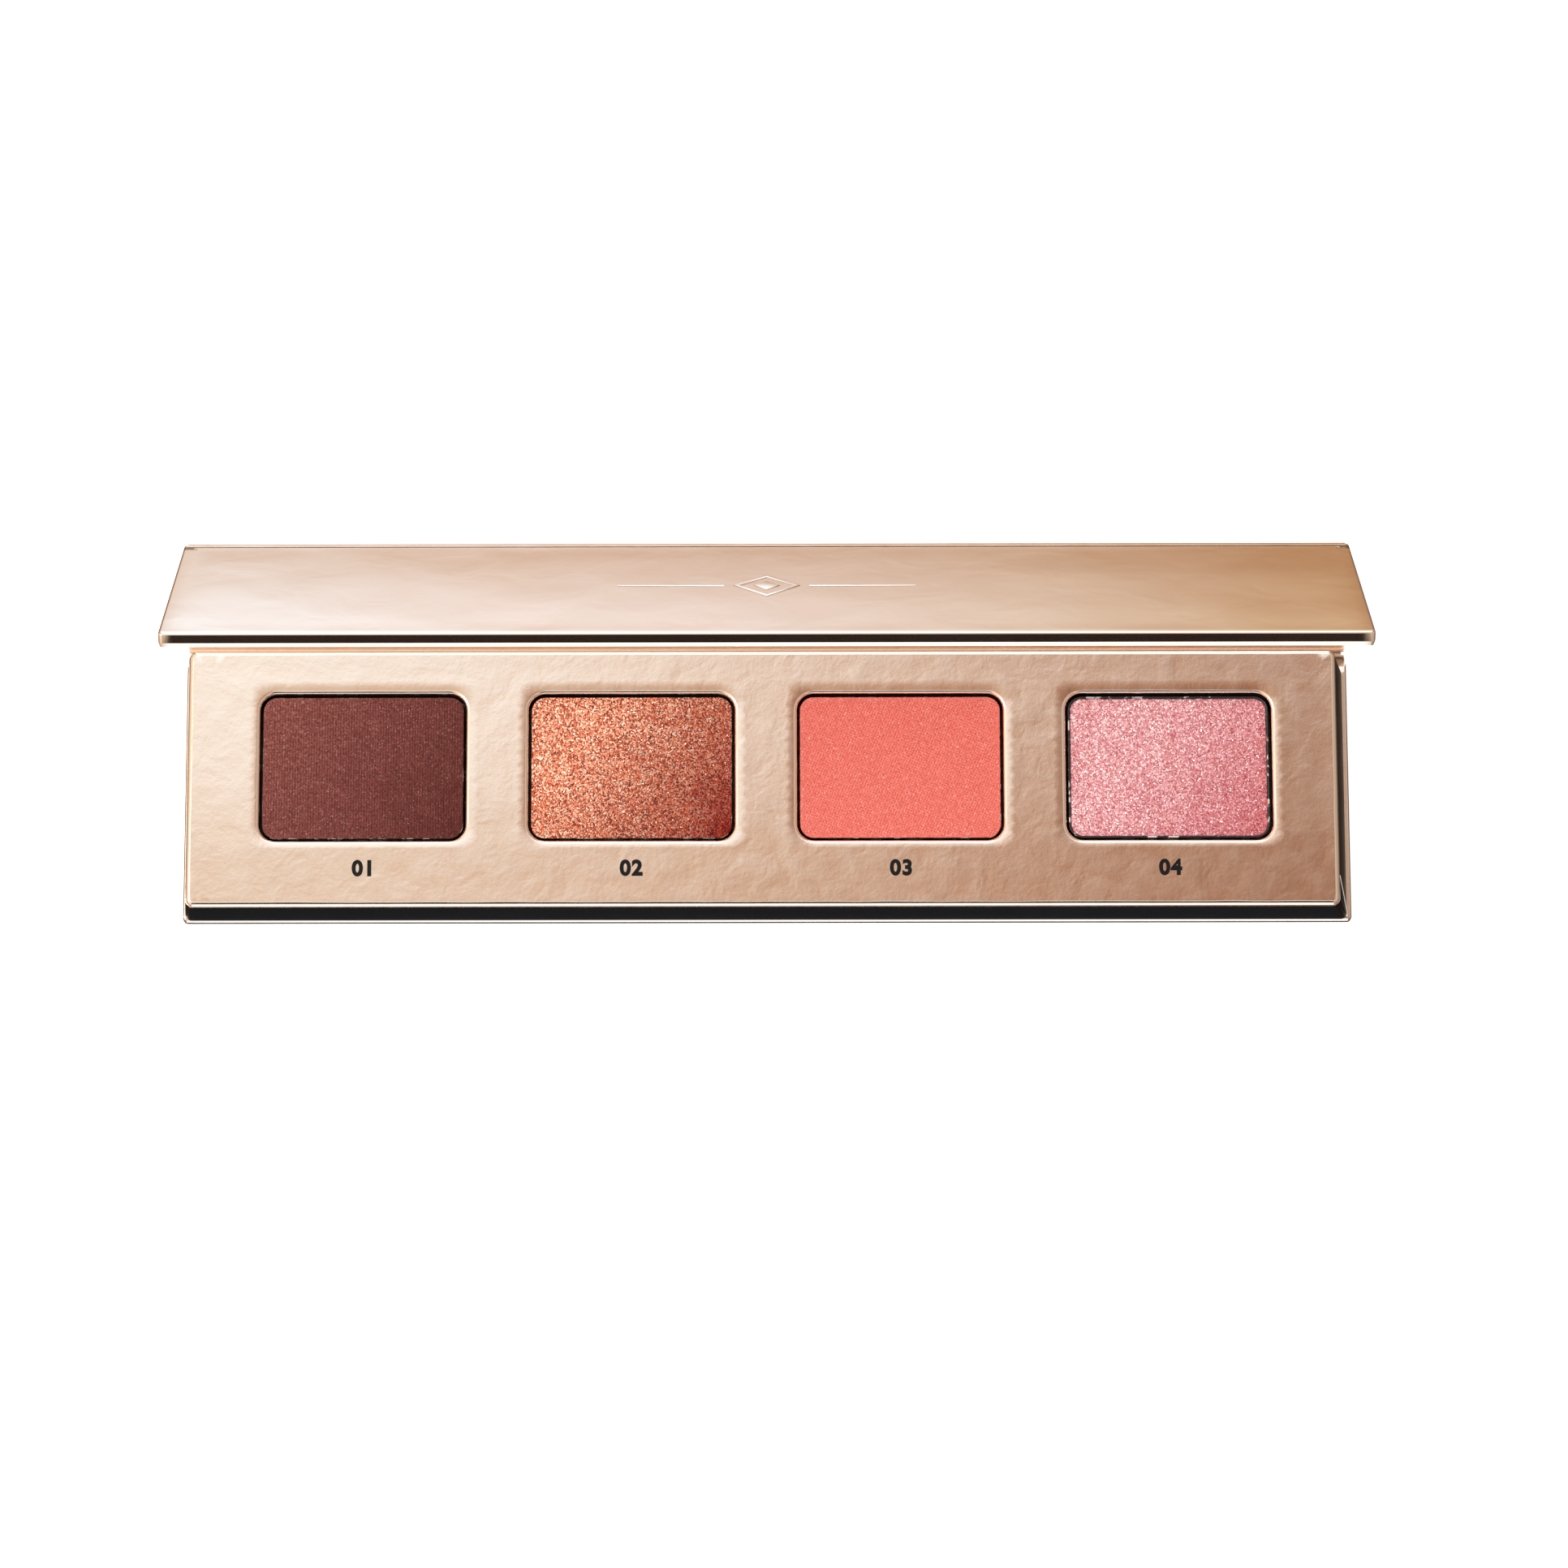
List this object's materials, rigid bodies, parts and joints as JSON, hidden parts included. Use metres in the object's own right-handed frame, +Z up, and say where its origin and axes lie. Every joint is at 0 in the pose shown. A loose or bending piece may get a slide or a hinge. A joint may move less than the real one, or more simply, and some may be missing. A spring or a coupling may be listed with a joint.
{
  "type": "eyeshadow palette",
  "caption": "Slim book-style eyeshadow palette: foil-wrapped base, folding spine and mirrored lid on paper hinges, with a tray of rectangular pans of pressed powder.",
  "frame": {"origin": "middle of the base's underside", "axes": "+X along the row of pans, +Y towards the hinge, +Z up"},
  "size_m": [0.12, 0.0387, 0.0304],
  "materials": {
    "foil_paper": "rose-gold foil laminated on wrapping paper, glossy with a faint ripple",
    "dark_foil_paper": "dark glossy foil paper",
    "foil_card": "rose-gold foil laminated on card, glossy with a soft wrinkle",
    "hinge_paper": "rose-gold foil paper, folded",
    "liner_paper": "rose-gold foil paper",
    "greyboard": "raw greyboard",
    "black_board": "black solid board",
    "glue": "double-sided adhesive sheet",
    "magnet": "nickel-plated",
    "mirror": "thin silvered glass",
    "tinplate": "bright pressed tinplate",
    "powder_brown": "matte pressed powder with a fine linen rib",
    "powder_copper": "glittering copper pressed powder",
    "powder_coral": "matte coral pressed powder with fine dimples",
    "powder_pink": "shimmering pink pressed powder"
  },
  "bodies": {
    "base": {"base_board": "greyboard", "base_wrap": "foil_paper", "lower_hinge_paper": "hinge_paper", "pan_1": "tinplate", "pan_2": "tinplate", "pan_3": "tinplate", "pan_4": "tinplate", "pan_pad_1": "glue", "pan_pad_2": "glue", "pan_pad_3": "glue", "pan_pad_4": "glue", "powder_1": "powder_brown", "powder_2": "powder_copper", "powder_3": "powder_coral", "powder_4": "powder_pink", "tray_floor_board_1": "greyboard", "tray_floor_board_2": "greyboard", "tray_glue_sheet": "glue", "tray_magnets": "magnet", "tray_panel": "foil_card", "tray_side_wrap": "dark_foil_paper", "tray_window_board": "black_board"},
    "spine": {"spine_board": "greyboard", "spine_liner": "liner_paper", "spine_wrap": "foil_paper", "upper_hinge_paper": "hinge_paper"},
    "lid": {"lid_board": "greyboard", "lid_liner": "liner_paper", "lid_magnets": "magnet", "lid_mirror": "mirror", "lid_mirror_pad": "glue", "lid_window_board": "greyboard", "lid_wrap": "foil_paper"}
  },
  "joints": [
    {"name": "spine_hinge", "type": "hinge", "parent": "base", "child": "spine", "pos_m": [0, 0.0142, 0], "axis": [1, 0, 0], "range_deg": [-32, 58], "deforming": ["lower_hinge_paper"]},
    {"name": "lid_hinge", "type": "hinge", "parent": "spine", "child": "lid", "pos_m": [0, 0.02455, 0.00647], "axis": [1, 0, 0], "range_deg": [-90, 0], "deforming": ["upper_hinge_paper"]}
  ]
}
